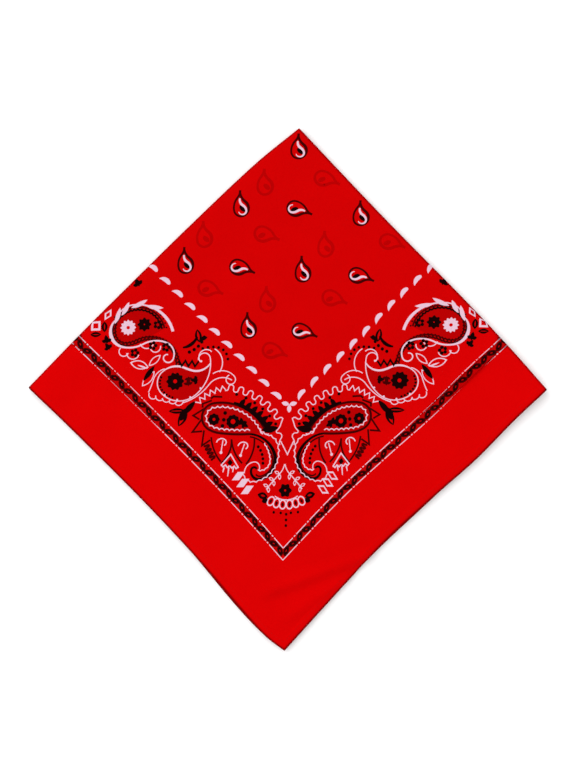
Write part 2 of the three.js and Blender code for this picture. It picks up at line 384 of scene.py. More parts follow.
# Five dots in a ring, like forget-me-nots
def posy(ink, centre):
    return dots(ink, 2.1, *(centre + 2.2 * np.exp(2j * math.pi * k / 5) for k in range(5)))


# Three small leaves on one stem
def sprig(ink, stem, heading, length):
    ahead = length * np.exp(1j * math.radians(heading))
    return (
        leaf(ink, stem, stem + ahead, length * 0.4)
        + leaf(ink, stem + 0.2 * ahead, stem + ahead * (0.45 + 0.55j), length * 0.33)
        + leaf(ink, stem + 0.2 * ahead, stem + ahead * (0.45 - 0.55j), length * 0.33)
    )


# The field: rows of small paisley drops, each a black outline round a white comma and a black seed. Every
# second one lies on its side. Between them shows, faintly, the print of the layer below.
def small_drop(centre, heading, seen=True):
    turn = np.exp(1j * math.radians(heading))
    head = centre + (-0.4 - 2.6j if heading == 0 else -2.9 + 0.2j)
    pen, rim_ink = (BLACK, HATCH) if seen else (FAINT, FAINT)
    outline = closed(arcs(-2.5 + 13.5j, -80, (6, -45), (11, 50), (22, 220), (9, -60)))
    comma = arcs(-2.5 + 7.5j, -100, (6, 70), (4, -40), (9, -180))
    shapes = line(rim_ink, outline, [1.8, 1.4, 1.6, 2.2, 1.5]) + dot(pen, 0, 3.3, 5.6, -40, 12)
    if seen:
        shapes += line(WHITE, comma, [1.5, 2.2, 1.9, 1.5, 0.9])
    return [(ink, head + turn * shape) for ink, shape in shapes]


UPRIGHT_DROPS = [3 - 15.5j, -36.5 - 60.5j, 51.5 - 65j, -76.5 - 103j, 10.5 - 108.5j, -28.5 - 151.5j]
SIDEWAYS_DROPS = [4 - 63.5j, -37 - 108j, 51.5 - 113j, 10.5 - 155.5j]
UPRIGHT_BELOW = [-19.5 - 44j, 27 - 89.5j, -63 - 83.5j, -15 - 131.5j]
SIDEWAYS_BELOW = [22.5 - 39.5j, 73 - 86.5j, -19.5 - 83j, 32 - 130j, -60 - 124j, -11 - 170.5j]
ON_ITS_SIDE = -114

field = []
for places, heading, seen in ((UPRIGHT_DROPS, 0, True), (SIDEWAYS_DROPS, ON_ITS_SIDE, True),
                              (UPRIGHT_BELOW, 0, False), (SIDEWAYS_BELOW, ON_ITS_SIDE, False)):
    for place in places:
        field += small_drop(place, heading, seen)

# The chain of white teardrops that frames the field, from the middle out along each side
chain = []
teardrop = closed(arcs(-5 + 2.5j, 25, (11, -115), (4.5, -125), (7, 20)))
for i in range(14):
    chain += filled(WHITE, teardrop - 7.7 - 203.9j + (-9.44 + 9.57j) * i)
    chain += filled(WHITE, 1j * teardrop + 11.2 - 201.8j + (9.22 + 9.74j) * i)
for tip in (-4 - 208.5j, 7.5 - 208.5j, 1.8 - 216j):
    chain += leaf(WHITE, 1.8 - 210j, tip, 3.6)

# Paisley by the fold: a round head with a white daisy, a leafy crest and a tail that curls back
half_border = []
first_rim = arcs(-127.5 - 142.5j, -125, (14, 50), (12, 80), (8, 20), (49, -130))
crest_rim = arcs(-127.5 - 144j, 52, (42, -130))
half_border += filled(FAINT, [*beside(crest_rim, 3), *first_rim[34::-1]])
half_border += line(FAINT, first_rim, 4)
for off in (0.9, -1.1):
    half_border += line(HATCH, waved(beside(first_rim, off), 2.6, scallops(0.6)), 1.2)
half_border += dots_along(HATCH, first_rim, 30, 1.4)
half_border += line(HATCH, beside(crest_rim, 1.8), 1.2)
half_border += line(BLACK, waved(crest_rim, 2.8, scallops(0.8)), 0.8)
half_border += dots_along(HATCH, beside(crest_rim, 3.4), 15, 1.4)
half_border += line(WHITE, arcs(-129 - 144j, 75, (18, -70), (39, -80)), [1.1, 1.4, 1.3, 2, 2.6, 2.4])
for stem, tip in ((-130 - 147j, -126 - 135j), (-125 - 141j, -119.5 - 131j), (-118 - 135.5j, -106 - 129.5j),
                  (-107 - 134j, -94 - 136j)):
    half_border += leaf(WHITE, stem, tip, 3.6, -0.4)
first_tail = arcs(-128 - 143j, -145, (27, 130), (16, 42), (18, -50), (15, -90), (9, -135), (6, -130))
half_border += line(WHITE, first_tail, [1.0, 3.0, 1.6, 1.5, 1.6, 1.4, 1.2])
half_border += flower(WHITE, -120 - 150j, 6, 12, 0.2, 2.7) + flower(BLACK, -108 - 148j, 5, 8, 0.24, 1)
half_border += posy(BLACK, -98 - 148.5j)
for stem, heading, bend in ((-125.5 - 165j, -140, 210), (-121 - 169j, -90, 160), (-111 - 162.5j, -70, 140),
                            (-103.5 - 165j, -90, 190)):
    half_border += line(WHITE, arcs(stem, heading, (13, bend)), 1.1)
for centre in (-115 - 169j, -101.5 - 164j, -91.5 - 165.5j):
    half_border += posy(BLACK, centre)
half_border += hollow_leaf(WHITE, -104.5 - 180j, -118.5 - 176j, 7, 1.1)
half_border += hollow_leaf(WHITE, -104.5 - 179j, -95.5 - 171j, 5, 1)
half_border += hollow_leaf(WHITE, -100 - 183j, -109.5 - 194j, 6, 1)
half_border += leaf(WHITE, -105 - 181j, -113 - 178j, 1.6) + leaf(BLACK, -108.5 - 190j, -100 - 179j, 3.2)
for middle, long_half, short_half in ((-135 - 140j, 2.5 + 4j, 2.5 - 1j),
                                      (-144 - 148j, 3.5 + 3.5j, 3.5 - 3.5j)):
    half_border += lozenge(WHITE, middle, long_half, short_half)
    half_border += lozenge(GROUND, middle, 0.55 * long_half, 0.55 * short_half)
half_border += hollow_leaf(BLACK, -137.5 - 153j, -137.5 - 145j, 4, 1.3)
half_border += hollow_leaf(BLACK, -140 - 154.5j, -148 - 154.5j, 3.3, 1.1)
half_border += sprig(BLACK, -135.5 - 161.5j, 100, 6.6) + sprig(BLACK, -133.5 - 166j, 125, 6)
half_border += sprig(BLACK, -112 - 119.5j, 120, 7)

# Paisley in the middle of each side: it lies the other way, with a black flower and a scrolled tail
second_body = arcs(-92.5 - 182.5j, -150, (19, 100), (29, 88), (31, 60), (14, 180))
second_top = arcs(-94 - 183.5j, 40, (18, -65), (6, 10), (16, 75))
half_border += filled(FAINT, [*second_top, *second_body[60::-1]])
half_border += line(WHITE, second_top, [1.0, 1.8, 1.9, 1.8, 1.2]) + line(WHITE, second_body, 1.15)
half_border += dot(WHITE, -65 - 176.5j, 2)
half_border += dots_along(WHITE, beside(second_body[18:44], 0.8), 4, 1.9)
half_border += dots_along(BLACK, beside(second_body[5:24], 1.9), 9, 1.2)
half_border += line(WHITE, arcs(-92.5 - 181.5j, -167, (12, 60), (10, -10)), 1.05)
for i in range(5):
    half_border += line(WHITE, arcs(-104 - 199j + (4.9 - 2.1j) * i, -115 + 14 * i, (8.5, 150)), 1.05)
half_border += line(WHITE, arcs(-78.5 - 207j, 15, (24, 37), (19, -85)), 1.1)
half_border += line(WHITE, arcs(-65.5 - 177j, 130, (17, -175)), 1.1)
half_border += line(WHITE, arcs(-55 - 167.5j, -30, (20, -95)), 1.1)
half_border += line(WHITE, arcs(-56 - 186j, 34, (18, -85), (18, -290)), 1.05)
half_border += flower(BLACK, -84.5 - 191j, 6.5, 10, 0.17, 3)
half_border += sprig(HATCH, -74.5 - 195j, 95, 6.2) + sprig(HATCH, -74.5 - 187.5j, -85, 5.6)
half_border += sprig(BLACK, -67 - 190.5j, 180, 6)
half_border += line(BLACK, waved(np.array([-82 - 177.5j, -67 - 178.5j]), 5, spikes(2), 4), 0.85)
half_border += dots_along(BLACK, arcs(-64 - 167j, 15, (10, -20), (14, -80)), 7, 1.7)
for stem, tip, width in ((-76.5 - 213j, -89.5 - 213j, 3.6), (-75.5 - 212j, -82 - 224.5j, 5.6),
                         (-66.5 - 162.5j, -68.5 - 152.5j, 4.6)):
    half_border += hollow_leaf(BLACK, stem, tip, width, 1.2)
half_border += leaf(BLACK, -79 - 216.5j, -69 - 206j, 3.8) + leaf(BLACK, -76 - 211j, -80.5 - 220.5j, 5.2)
half_border += line(BLACK, arcs(-79 - 166j, 4, (14, 65)), [0.6, 1.7, 2.2, 1.6, 1.2])
half_border += leaf(BLACK, -67 - 160.5j, -60.5 - 158.5j, 2.6)
half_border += dots_along(BLACK, arcs(-74 - 169.5j, 20, (16, 50)), 5, 2.1)

# Paisley at the corner of the border: a scalloped white heart with two flowers, rays, a thorny crest and a
# tail that curls under
third_body = arcs(-27.5 - 231.5j, -178, (23, -10), (9, -22), (26, -143), (49, -73))
half_border += filled(FAINT, third_body)
for i, reach in enumerate((18.5, 19.5, 23, 25, 25)):
    out = np.exp(1j * math.radians(107 + 29 * i))
    thorn = np.array([16.5 * out * np.exp(-0.25j), reach * out * np.exp(0.12j), 18 * out * np.exp(0.25j)])
    half_border += line(HATCH, -48 - 220j + thorn, 1.4)
half_border += line(HATCH, waved(arcs(-61 - 238.5j, -62, (12.5, 0)), 3.1, loops(1.8, 0.3), 8), 1.5)
for start, bend in ((-57 - 233j, 36), (-41.5 - 235j, -57), (-41.5 - 235j, 42), (-24 - 235j, -45)):
    half_border += line(HATCH, arcs(start, -86, (20, bend)), 1.4)
half_border += line(HATCH, third_body, 1.7)
half_border += line(BLACK, arcs(-27.5 - 231.5j, -5, (26, -67), (24, -100), (11, -105), (6, -145)),
                    [0.9, 1.3, 2.2, 2.1, 1.5, 1.0])
half_border += line(HATCH, arcs(-27.5 - 233.5j, -9, (24, -63), (19, -100), (4, -60)), 1.2)
crest = arcs(-40 - 208j, -18, (34, -38))
half_border += line(BLACK, crest, [1.0, 2.3, 2.9, 3.5, 2.6])
for root, out in zip(crest[4::4], normals(crest)[4::4]):
    half_border += leaf(BLACK, root - 2 * out, root + 6 * out * np.exp(-0.3j), 3.2)
half_border += leaf(BLACK, -18.5 - 228.5j, -6 - 227j, 4.6, -0.6)
half_border += dots_along(BLACK, beside(crest, 6.5), 6, 1.9)
for start, heading, pitch, height, bends in (
    (-20.5 - 228j, -50, 4.4, 0.9, ((8.5, 40),)),
    (-15.5 - 232j, -4, 4.3, 0.9, ((13, -70), (36, -98), (12, -82))),
    (-16.5 - 238.5j, -51, 3.2, 0.6, ((13, -34), (14, -110))),
):
    half_border += line(WHITE, waved(arcs(start, heading, *bends), pitch, scallops(height)), 1.1)
half_border += line(WHITE, waved(beside(third_body, -3.2), 3.9, scallops(1.1)), 1.1)
half_border += line(WHITE, arcs(-31.5 - 260j, 89, (12, -84), (9, -130)), 1.05)
half_border += flower(BLACK, -55 - 220j, 4.2, 8, 0.12, 2.2) + flower(BLACK, -40.5 - 222j, 5, 9, 0.12, 3.7)
half_border += dots(BLACK, 2.4, -46.5 - 215.5j, -47.5 - 220.5j, -48.5 - 225j)
half_border += sprig(BLACK, -33.5 - 225j, 100, 6) + sprig(BLACK, -33.5 - 223.5j, -30, 5.4)
half_border += dots_along(BLACK, arcs(-21 - 241j, -50, (13, -45)), 5, 1.8)
for start, foot in ((-53 - 237j, -49.5 - 244.5j), (-36.5 - 240j, -34.5 - 247j)):
    half_border += line(WHITE, arcs(start, 70, (8, -110), (5, -120)), 1.2)
    half_border += line(WHITE, np.array([start + 5 + 1.5j, foot]), 1.1) + dot(WHITE, foot, 2.6)
tent = np.array([-49.5 - 254j, -42 - 246j, -36 - 256j])
half_border += line(WHITE, tent, 1.3) + line(WHITE, waved(tent[::2], 3.4, spikes(0.8), 4), 1.3)
for root, tip in ((-47 - 255.5j, -48 - 259j), (-43.4 - 255.5j, -44.2 - 262j), (-39.8 - 255.5j, -40.4 - 259j)):
    half_border += line(WHITE, np.array([root, tip]), [1.5, 1])
half_border += lozenge(BLACK, -42.5 - 252j, 2.6j, 2.2)

# The jagged line and the meander over the corner paisley, with a hook at the end
frame_line = np.concatenate([
    waved(arcs(-68 - 208j, 48, (25, -42)), 4.6, spikes(1.8), 4),
    waved(arcs(-46 - 196.5j, -6, (50, -51)), 7.5, loops(2.45, 0.6), 12),
    arcs(-4 - 224j, -100, (6, -40), (3, 150), (6, -140), (5, 60)),
])
frame_piece = line(WHITE, frame_line, 1.1)

# The fan of petals under the small flower, and the garland over it
fan = []
for stem, heading, long in ((-1.2 - 283j, -91, 7.6), (-6 - 282j, -106, 7.8), (-10.5 - 280.5j, -124, 8)):
    ahead = np.exp(1j * math.radians(heading))
    fan += dot(WHITE, stem, 6.2, long, heading, 14) + dot(GROUND, stem, 4.0, long - 2.2, heading, 12)
    fan += leaf(HATCH, stem + 1.8 * ahead, stem - 1.6 * ahead, 1.9)
fan += line(WHITE, arcs(1.5 - 279.8j, 180, (9.5, -35)), 1.1)
fan += leaf(BLACK, -13 - 277.5j, -21 - 275.5j, 4.4) + leaf(FAINT, -15 - 277j, -18.5 - 276j, 1.2)
fan += leaf(BLACK, -13 - 279j, -17.5 - 281j, 3.6)
fan += dots(BLACK, 1.5, -8 - 288.5j, -2.5 - 289j)
garland_stem = arcs(-0.5 - 254j, -100, (8, -35), (15, 5))
garland = line(WHITE, garland_stem, 1.1)
for root in garland_stem[[7, 12, 17]]:
    for heading in (155, -88):
        garland += hollow_leaf(WHITE, root, root + 4.4 * np.exp(1j * math.radians(heading)), 2.7, 0.9)


# The border is drawn once and mirrored. The panel was printed a little askew, so on the right each motif sits
# a millimetre or two off its mirror image, and the whole border rises to the right.
RISE_TO_THE_RIGHT = 0.0145
TWIN_PLACES = [0, 15, 41, 55, 84, 120]
TWIN_SHIFTS = [1.7, 1.8, 0.3, -0.8, -2, -0.2]


def askew(outline):
    return outline + 1j * RISE_TO_THE_RIGHT * outline.real


def twin(outline, middle):
    mirrored = -np.conj(outline)
    return askew(mirrored) + (2 * middle if middle else np.interp(mirrored.real, TWIN_PLACES, TWIN_SHIFTS))


border = chain[:]
for part, middle in ((half_border, 0), (frame_piece, 0), (fan, 1.5), (garland, -0.3)):
    for ink, outline in part:
        border += [(ink, askew(outline)), (ink, twin(outline, middle))]

# The three lozenges beside the fan are solid on the left and hollow on the right
for i in range(3):
    middle = -36 - 262.5j + (3.5 - 5j) * i
    for ink, outline in lozenge(WHITE, middle, 5 + 3j, 0.5 - 3j):
        border += [(ink, outline), (ink, twin(outline, 0))]
    for ink, outline in lozenge(GROUND, middle, 3 + 1.8j, 0.3 - 1.8j):
        border += [(ink, twin(outline, 0))]
border += line(WHITE, np.array([-4 - 237j, 1.5 - 247j, 6 - 237j]), 1.15)
border += flower(BLACK, 0.5 - 273j, 4.9, 6, 0.24, 1.6)
border += dots(BLACK, 1.6, 1.8 - 290j, 1.8 - 294j, 1.8 - 298j)

# The rope that closes the border: a chain of black links between two white lines of dashes and dots
ROPE_INNER, ROPE_OUTER = (0.2 - 313.9j, -156.6 - 157.2j), (0.3 - 322.4j, -161.8 - 162.3j)
DASH_PITCH = 14.3
LINK_PITCH = 7.2

half_rope = []
for (corner, end), first_dot in ((ROPE_INNER, 12.2), (ROPE_OUTER, 17.6)):
    run = (end - corner) / abs(end - corner)
    reach = abs(end - corner) + 12
    dot_places = np.arange(first_dot, reach, DASH_PITCH)
    half_rope += line(WHITE, np.array([corner, corner + run * (first_dot - 1.9)]), 1.0)
    for place in dot_places:
        half_rope += line(WHITE, corner + run * np.array([place - 0.7, place + 0.7]), 1.05)
        half_rope += line(WHITE, corner + run * np.array([place + 1.9, place + DASH_PITCH - 1.9]), 1.0)
corner = (ROPE_INNER[0] + ROPE_OUTER[0]) / 2
end = (ROPE_INNER[1] + ROPE_OUTER[1]) / 2
run = (end - corner) / abs(end - corner)
for i in range(33):
    middle = corner + run * (3.4 + LINK_PITCH * i)
    heading = math.degrees(math.atan2(run.imag, run.real)) + (26 if i % 2 else -26)
    half_rope += dot(HATCH, middle, 4.3, 8.0, heading, 12) + dot(BLACK, middle, 1.6, 5.0, heading, 10)
    half_rope += dot(FAINT, middle, 0.5, 1.8, heading, 8)
half_rope = line(FAINT, np.array([corner, end]), 5.8) + half_rope
rope = [(ink, half) for ink, outline in half_rope for half in (outline, 0.5 - np.conj(outline))]

print_shapes = field + border + rope

# The cloth is worked on a lattice in its flat coordinates, finer round the rolled folds and at the hems
folded_stations = LIP + ROLL_ARC * np.linspace(0, 1, 11)[:-1]
panel_stations = np.arange(ROLL, QUARTER - HEM_WIDTH - 1, 3)
hem_stations = QUARTER - HEM_WIDTH + np.linspace(-1, 1, 5)
stations = np.concatenate([folded_stations, panel_stations, hem_stations, [QUARTER - 3, QUARTER - NOSE]])


# Which points lie inside a closed outline, both given as complex numbers
def inside(outline, points):
    start, end = outline, np.roll(outline, -1)
    low = start.imag[None, :] <= points.imag[:, None]
    high = end.imag[None, :] > points.imag[:, None]
    offset = points[:, None] - start[None, :]
    left = (np.conj(end - start)[None, :] * offset).imag > 0
    upward = low & high & left
    downward = ~low & ~high & ~left
    return upward.sum(axis=1) != downward.sum(axis=1)


# The print is cut into the sheet's own faces, so its edges stay sharp. The flat sheet is triangulated with
# the outline of each printed shape as edges, and each face takes the ink printed last over its middle.
def cut_print(shapes):
    lattice = (stations[:, None] + 1j * stations[None, :]).ravel()
    end = stations[-1]
    outlines = [np.array([complex(LIP, LIP), complex(end, LIP), complex(end, end), complex(LIP, end)])]
    for ink, outline in shapes:
        across, down = (outline.real - outline.imag) / 2**0.5, -(outline.real + outline.imag) / 2**0.5
        outlines.append(across + 1j * down)
    points = np.concatenate([*outlines, lattice])
    edges = []
    first = 0
    for outline in outlines:
        size = len(outline)
        edges += [(first + i, first + (i + 1) % size) for i in range(size)]
        first += size
    flat = [Vector((z.real, z.imag)) for z in points]
    vertices, _, faces, *_ = delaunay_2d_cdt(flat, edges, [], 0, 1e-4, False)
    vertices = np.array([complex(*v) for v in vertices])
    faces = np.array(faces)
    middles = vertices[faces].mean(axis=1)
    faces = faces[inside(outlines[0], middles)]
    middles = vertices[faces].mean(axis=1)
    inks = np.zeros(len(faces), dtype=int)
    order = np.argsort(middles.real)
    sorted_across = middles.real[order]
    for (ink, _), outline in zip(shapes, outlines[1:]):
        near = order[slice(*np.searchsorted(sorted_across, [outline.real.min(), outline.real.max()]))]
        near = near[(middles.imag[near] > outline.imag.min()) & (middles.imag[near] < outline.imag.max())]
        if len(near):
            inks[near[inside(outline, middles[near])]] = ink
    used, faces = np.unique(faces, return_inverse=True)
    return vertices[used], faces.reshape(-1, 3), inks


def new_piece(name, data):
    piece = bpy.data.objects.new(name, data)
    bpy.context.scene.collection.objects.link(piece)
    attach(piece, "root")
    return piece


# A thin wall grown evenly on both sides of a sheet's middle surface
def thicken(piece, thickness):
    wall = piece.modifiers.new("cloth", "SOLIDIFY")
    wall.thickness = thickness * MM
    wall.offset = 0
    wall.use_even_offset = False


flat_places, printed_faces, printed_inks = cut_print(print_shapes)


# A printed layer of the cloth, with its own flat coordinates as a UV map. inks holds a material for each ink.
def printed_sheet(name, layer, faces_up, inks):
    across, down = flat_places.real, flat_places.imag
    data = bpy.data.meshes.new(name)
    faces = printed_faces[:, ::-1] if faces_up else printed_faces
    data.from_pydata((layer(across, down) * MM).tolist(), [], faces.tolist())
    for ink in inks:
        data.materials.append(ink)
    data.polygons.foreach_set("material_index", printed_inks.astype(np.int32))
    data.polygons.foreach_set("use_smooth", np.ones(len(faces), dtype=bool))
    weave_map = data.uv_layers.new(name="cloth")
    places = np.column_stack([across, down])[faces.ravel()] * MM
    weave_map.data.foreach_set("uv", places.astype(np.float32).ravel())
    data.update()
    return data


# Plain-weave cotton: threads both ways about 0.4 mm apart, slightly uneven, with a faint bloom on the red.
# An ink lies in the same cloth, so it keeps the weave and has its own colour and gloss.
THREAD = 0.4


def cotton(name, colour, mottle, roughness, sheen, relief):
    made = bpy.data.materials.new(name)
    made.use_nodes = True
    nodes, links = made.node_tree.nodes, made.node_tree.links
    shader = nodes["Principled BSDF"]
    shader.inputs["Base Color"].default_value = (*colour, 1)
    shader.inputs["Specular IOR Level"].default_value = 0.01
    shader.inputs["Sheen Weight"].default_value = sheen
    shader.inputs["Sheen Roughness"].default_value = 0.5
    shader.inputs["Sheen Tint"].default_value = (*colour, 1)

    cloth_map = nodes.new("ShaderNodeUVMap")
    cloth_map.uv_map = "cloth"
    slubs = nodes.new("ShaderNodeTexNoise")
    slubs.inputs["Scale"].default_value = 900
    slubs.inputs["Detail"].default_value = 3
    links.new(cloth_map.outputs["UV"], slubs.inputs["Vector"])

    height = None
    for direction in ("X", "Y"):
        threads = nodes.new("ShaderNodeTexWave")
        threads.bands_direction = direction
        threads.inputs["Scale"].default_value = 1 / (THREAD * MM) * math.pi / 10
        threads.inputs["Distortion"].default_value = 0.6
        threads.inputs["Detail"].default_value = 0
        links.new(cloth_map.outputs["UV"], threads.inputs["Vector"])
        if height is None:
            height = threads.outputs["Fac"]
        else:
            crossed = nodes.new("ShaderNodeMath")
            crossed.operation = "MAXIMUM"
            links.new(height, crossed.inputs[0])
            links.new(threads.outputs["Fac"], crossed.inputs[1])
            height = crossed.outputs["Value"]
    uneven = nodes.new("ShaderNodeMath")
    uneven.operation = "MULTIPLY"
    links.new(height, uneven.inputs[0])
    links.new(slubs.outputs["Fac"], uneven.inputs[1])
    bump = nodes.new("ShaderNodeBump")
    bump.inputs["Strength"].default_value = relief
    bump.inputs["Distance"].default_value = 0.16 * MM
    links.new(uneven.outputs["Value"], bump.inputs["Height"])
    links.new(bump.outputs["Normal"], shader.inputs["Normal"])

    rough = nodes.new("ShaderNodeMapRange")
    rough.inputs["To Min"].default_value = roughness - 0.08
    rough.inputs["To Max"].default_value = roughness + 0.08
    links.new(slubs.outputs["Fac"], rough.inputs["Value"])
    links.new(rough.outputs["Result"], shader.inputs["Roughness"])

    # The dye is a little deeper under the print than in the plain margin, and cloudy. Along the folds and on
    # the hems' outer turns the colour is darkened much further: painted shade where the cloth turns down.
    if mottle:
        sides = nodes.new("ShaderNodeSeparateXYZ")
        links.new(cloth_map.outputs["UV"], sides.inputs["Vector"])
        bands = []
        for choice, start, end, low, high in (
            # towards the hems: the plain margin, and then painted shade on the hems' outer turns
            ("MAXIMUM", 190, 224, 0.33, 0.7),
            ("MAXIMUM", 272.9, 274.6, 0, 0.75),
            # towards the folds: painted shade where the cloth rolls over
            ("MINIMUM", 2.2, -0.2, 0, 0.55),
        ):
            place = nodes.new("ShaderNodeMath")
            place.operation = choice
            links.new(sides.outputs["X"], place.inputs[0])
            links.new(sides.outputs["Y"], place.inputs[1])
            band = nodes.new("ShaderNodeMapRange")
            band.interpolation_type = "SMOOTHSTEP"
            band.inputs["From Min"].default_value = start * MM
            band.inputs["From Max"].default_value = end * MM
            band.inputs["To Min"].default_value = low
            band.inputs["To Max"].default_value = high
            links.new(place.outputs["Value"], band.inputs["Value"])
            bands.append(band.outputs["Result"])
        # margin is the dye's own tone; the hem-turn and fold bands are masks of painted shade
        margin, hem_turn_shade, fold = bands
        cloud = nodes.new("ShaderNodeTexNoise")
        cloud.inputs["Scale"].default_value = 28
        cloud.inputs["Detail"].default_value = 6
        cloud.inputs["Roughness"].default_value = 0.6
        links.new(cloth_map.outputs["UV"], cloud.inputs["Vector"])
        shade = nodes.new("ShaderNodeMath")
        shade.operation = "MULTIPLY_ADD"
        shade.inputs[1].default_value = 0.5
        links.new(cloud.outputs["Fac"], shade.inputs[0])
        links.new(margin, shade.inputs[2])
        dye = nodes.new("ShaderNodeMix")
        dye.data_type = "RGBA"
        dye.inputs["A"].default_value = (*(c * (1 - mottle) for c in colour), 1)
        dye.inputs["B"].default_value = (*colour, 1)
        links.new(shade.outputs["Value"], dye.inputs["Factor"])
        # painted shade: the hem turns' and the folds' darkening, added together
        turn = nodes.new("ShaderNodeMath")
        turn.operation = "ADD"
        links.new(hem_turn_shade, turn.inputs[0])
        links.new(fold, turn.inputs[1])
        # painted shade: mixes the red towards a near-black red where the cloth turns down
        painted_shade_mix = nodes.new("ShaderNodeMix")
        painted_shade_mix.data_type = "RGBA"
        painted_shade_mix.inputs["B"].default_value = (*(c * 0.15 for c in colour), 1)
        links.new(turn.outputs["Value"], painted_shade_mix.inputs["Factor"])
        links.new(dye.outputs["Result"], painted_shade_mix.inputs["A"])
        links.new(painted_shade_mix.outputs["Result"], shader.inputs["Base Color"])
    return made


RED = (0.595, 0.0002, 0.0006)
BLACK_INK = (0.006, 0.0006, 0.0008)
WHITE_INK = (0.66, 0.45, 0.55)
SHOW_THROUGH = (0.445, 0.0002, 0.0006)
CLOSE_HATCH = (0.045, 0.0004, 0.0006)

# The red and the print of the layer below also carry the painted shade along the folds and on the hems' outer
# turns
red_dye_and_fold_shade = cotton("red_cotton", RED, 0.28, 0.85, 0.03, 0.9)
black_ink = cotton("black_print_on_cotton", BLACK_INK, 0, 0.8, 0, 0.7)
white_ink = cotton("white_print_on_cotton", WHITE_INK, 0, 0.8, 0, 0.7)
show_through_and_fold_shade = cotton("print_of_the_layer_below", SHOW_THROUGH, 0.28, 0.85, 0.03, 0.9)
hatched_ink = cotton("close_black_hatching_on_cotton", CLOSE_HATCH, 0, 0.8, 0, 0.7)
inks = [red_dye_and_fold_shade, black_ink, white_ink, show_through_and_fold_shade, hatched_ink]

printed_quarter = new_piece("printed_quarter", printed_sheet("printed_quarter", top_layer, True, inks))
thicken(printed_quarter, CLOTH)
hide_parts("top_quarter")

# The three hidden quarters. The same cloth, folded below the top one: the second and third layers lie
# inside the outer fold, the fourth is wrapped round below them, face down, and carries the same print.
INNER_FOLD_INSET = 2
LOWER_HEM_INSET = 0.3

# Where a lower layer's edge shows past the one above it: layer, place along the side, spread and distance
LEFT_HEM_PEEKS = [(2, 0.84, 0.16, 0.5), (3, 0.3, 0.2, -0.8), (4, 0.8, 0.18, 1.6)]
RIGHT_HEM_PEEKS = [(2, 0.46, 0.16, 0.4), (3, 0.75, 0.18, -0.8), (4, 0.53, 0.18, 1.3)]


def peek(rows, number, along_side):
    at = np.clip(along_side / QUARTER, 0, 1)
    reach = sum(out * bell(at - place, spread) for layer, place, spread, out in rows if layer == number)
    return reach * (1 - (2 * at - 1) ** 8) - LOWER_HEM_INSET


# A lower layer's middle surface. Each fold joins two layers, whose edges meet at the height of their lip.
def lower_layer(number):
    def points(across, down):
        flat_across, flat_down = np.maximum(across, ROLL), np.maximum(down, ROLL)
        height = top_height(flat_across, flat_down)
        foot = curl_lift(flat_across, flat_down)
        outer = bell(flat_across - ROLL, OUTER_LOFT_REACH)
        paired = bell(flat_down - ROLL, PAIRED_LOFT_REACH)
        share = {
            2: 0.62 + 0.10 * outer - 0.08 * paired,
            3: 0.49 - 0.17 * outer - 0.03 * paired,
            4: 0.28 / height,
        }[number]
        middle = foot + share * (height - foot)
        outer_lip = height * (1 / 2 if number == 4 else 0.52)
        paired_lip = height * (3 / 4 if number == 2 else 1 / 4)
        over_outer, over_paired = 1 - np.cos(turned(across)), 1 - np.cos(turned(down))
        if number == 4:
            to_outer, to_paired = (outer_lip - middle) * over_outer, (paired_lip - middle) * over_paired
            lifted = middle + np.maximum(to_outer, to_paired)
            inset = CLOTH / 2
        else:
            at_paired = middle + (paired_lip - middle) * over_paired
            lifted = at_paired + (outer_lip - at_paired) * over_outer
            inset = INNER_FOLD_INSET
        out_right = peek(RIGHT_HEM_PEEKS, number, down) * smooth_step(QUARTER - 40, QUARTER - 8, across)
        out_left = peek(LEFT_HEM_PEEKS, number, across) * smooth_step(QUARTER - 40, QUARTER - 8, down)
        point = footprint(
            flat_across - (ROLL - inset) * np.sin(turned(across)) + out_right,
            flat_down - (ROLL - CLOTH / 2) * np.sin(turned(down)) + out_left,
        )
        return np.column_stack([point.real, point.imag, lifted])

    return points


# A plain hidden layer, on a grid with wider spacing than the printed sheet's
hidden_stations = np.concatenate([
    folded_stations,
    np.arange(ROLL, QUARTER - HEM_WIDTH - 1, 6),
    hem_stations,
    [QUARTER - 3, QUARTER - NOSE],
])


def plain_sheet(target, layer, faces_up):
    count = len(hidden_stations)
    grid = bmesh.ops.create_grid(target, x_segments=count - 1, y_segments=count - 1, size=0.5)["verts"]
    across = np.array([hidden_stations[round((v.co.x + 0.5) * (count - 1))] for v in grid])
    down = np.array([hidden_stations[round((v.co.y + 0.5) * (count - 1))] for v in grid])
    cloth_map = target.loops.layers.uv.get("cloth") or target.loops.layers.uv.new("cloth")
    for vertex, place, a, d in zip(grid, layer(across, down) * MM, across * MM, down * MM):
        vertex.co = place
        for loop in vertex.link_loops:
            loop[cloth_map].uv = (a, d)
    if faces_up:
        bmesh.ops.reverse_faces(target, faces=list({f for v in grid for f in v.link_faces}))


folded_mesh = bmesh.new()
folded_mesh.from_mesh(printed_sheet("printed_underside", lower_layer(4), False, inks))
plain_sheet(folded_mesh, lower_layer(3), True)
plain_sheet(folded_mesh, lower_layer(2), False)
for face in folded_mesh.faces:
    face.smooth = True
folded_data = bpy.data.meshes.new("folded_layers")
folded_mesh.to_mesh(folded_data)
folded_mesh.free()
for ink in inks:
    folded_data.materials.append(ink)
folded_layers = new_piece("folded_layers", folded_data)
thicken(folded_layers, CLOTH)
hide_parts("under_layers")

# The hems. Each is the cloth's own edge turned over twice and sewn flat, so it is a flat roll of the same
# cotton below the top layer's edge, whose outer turn shows as a rounded nose.
def upward(layer, across, down):
    step = 0.05
    along_across = layer(across + step, down) - layer(across - step, down)
    along_down = layer(across, down + step) - layer(across, down - step)
    normal = np.cross(along_down, along_across)
    return normal / np.linalg.norm(normal, axis=1, keepdims=True)


